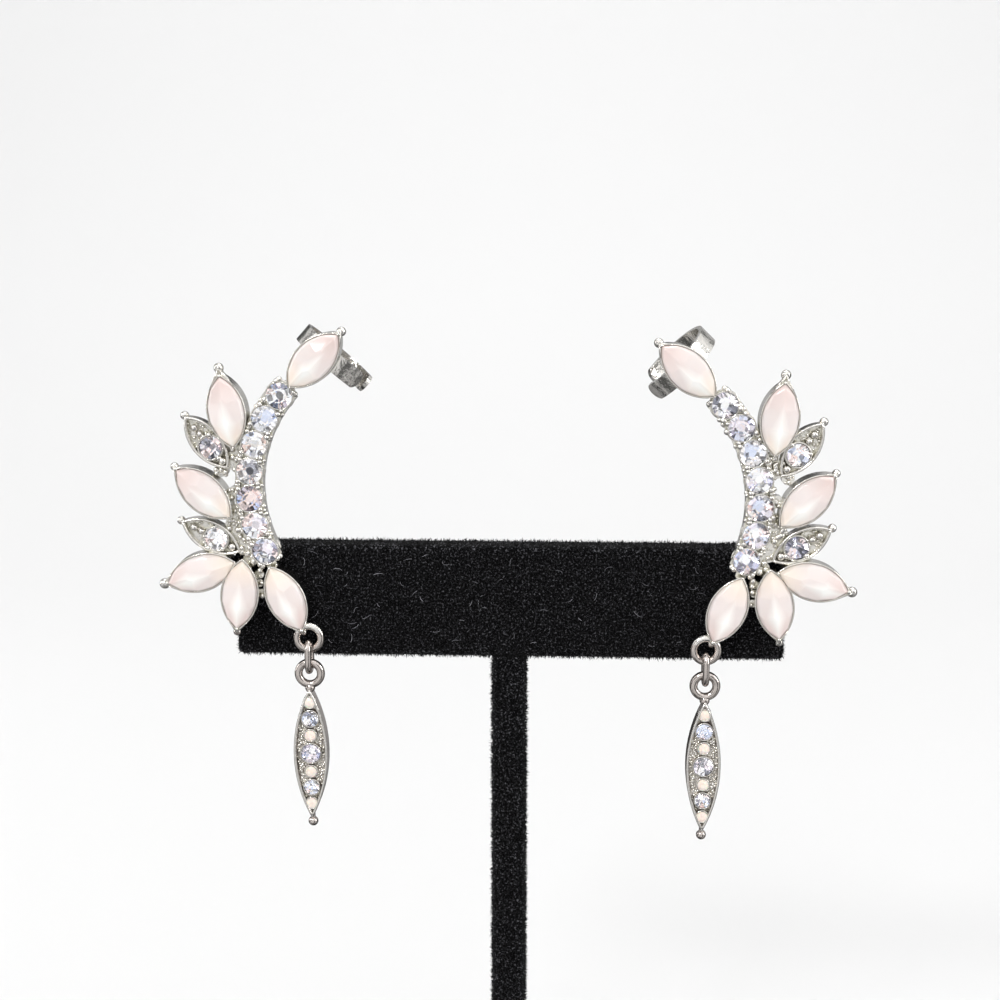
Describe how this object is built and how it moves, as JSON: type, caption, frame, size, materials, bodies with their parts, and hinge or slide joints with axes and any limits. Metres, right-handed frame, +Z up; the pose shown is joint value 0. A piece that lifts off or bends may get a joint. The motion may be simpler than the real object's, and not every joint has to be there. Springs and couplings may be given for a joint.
{
  "type": "pair of ear climbers on a t-bar display stand",
  "caption": "Mirrored pair of stone-set leaf-spray ear climbers with ear cuffs, ear posts and hanging boat-shaped drops, pinned on a black velvet T-bar display stand.",
  "frame": {"origin": "middle of the base plate's underside, on the table", "axes": "+Z up along the pole, -Y the front that shows the climbers, +X to the right as seen from the front"},
  "size_m": [0.0922, 0.04, 0.1372],
  "materials": {
    "black_velvet": "short black velvet pile with grey specks and lint",
    "plated_frame": "silver-tone plating, polished, darkened in the recesses",
    "plated_link": "silver-tone plating, polished",
    "plated_drop": "silver-tone plating, polished rim, darker granular floor",
    "clutch_metal": "silver-tone plating",
    "milky_resin": "milky pale pink faceted resin, translucent",
    "small_opal": "milky pale pink resin",
    "clear_crystal": "foiled clear crystal with a faint rainbow coating"
  },
  "bodies": {
    "stand": {"display_bar": "black_velvet", "display_pole": "black_velvet", "display_base": "black_velvet", "left_frame": "plated_frame", "left_clutch": "clutch_metal", "right_frame": "plated_frame", "right_clutch": "clutch_metal", "left_opal_top": "milky_resin", "left_opal_upper": "milky_resin", "left_opal_middle": "milky_resin", "left_opal_outer": "milky_resin", "left_opal_lower": "milky_resin", "left_opal_inner": "milky_resin", "right_opal_top": "milky_resin", "right_opal_upper": "milky_resin", "right_opal_middle": "milky_resin", "right_opal_outer": "milky_resin", "right_opal_lower": "milky_resin", "right_opal_inner": "milky_resin", "left_crystal_1": "clear_crystal", "left_crystal_2": "clear_crystal", "left_crystal_3": "clear_crystal", "left_crystal_4": "clear_crystal", "left_crystal_5": "clear_crystal", "left_crystal_6": "clear_crystal", "left_crystal_7": "clear_crystal", "right_crystal_1": "clear_crystal", "right_crystal_2": "clear_crystal", "right_crystal_3": "clear_crystal", "right_crystal_4": "clear_crystal", "right_crystal_5": "clear_crystal", "right_crystal_6": "clear_crystal", "right_crystal_7": "clear_crystal", "left_leaf_crystal_upper": "clear_crystal", "left_leaf_crystal_lower": "clear_crystal", "right_leaf_crystal_upper": "clear_crystal", "right_leaf_crystal_lower": "clear_crystal"},
    "left_link": {"left_link": "plated_link"},
    "left_drop": {"left_drop": "plated_drop", "left_drop_opals": "small_opal", "left_drop_crystals": "clear_crystal"},
    "right_link": {"right_link": "plated_link"},
    "right_drop": {"right_drop": "plated_drop", "right_drop_opals": "small_opal", "right_drop_crystals": "clear_crystal"}
  },
  "joints": [
    {"name": "left_link_swing", "type": "hinge", "parent": "stand", "child": "left_link", "pos_m": [-0.02664, -0.00415, 0.09416], "axis": [1, 0, 0], "range_deg": [-60, 10]},
    {"name": "left_drop_sway", "type": "hinge", "parent": "left_link", "child": "left_drop", "pos_m": [-0.02664, -0.00415, 0.09119], "axis": [0, 1, 0], "range_deg": [-50, 50]},
    {"name": "right_link_swing", "type": "hinge", "parent": "stand", "child": "right_link", "pos_m": [0.02618, -0.00415, 0.09313], "axis": [1, 0, 0], "range_deg": [-60, 10]},
    {"name": "right_drop_sway", "type": "hinge", "parent": "right_link", "child": "right_drop", "pos_m": [0.02618, -0.00415, 0.09016], "axis": [0, 1, 0], "range_deg": [-50, 50]}
  ]
}
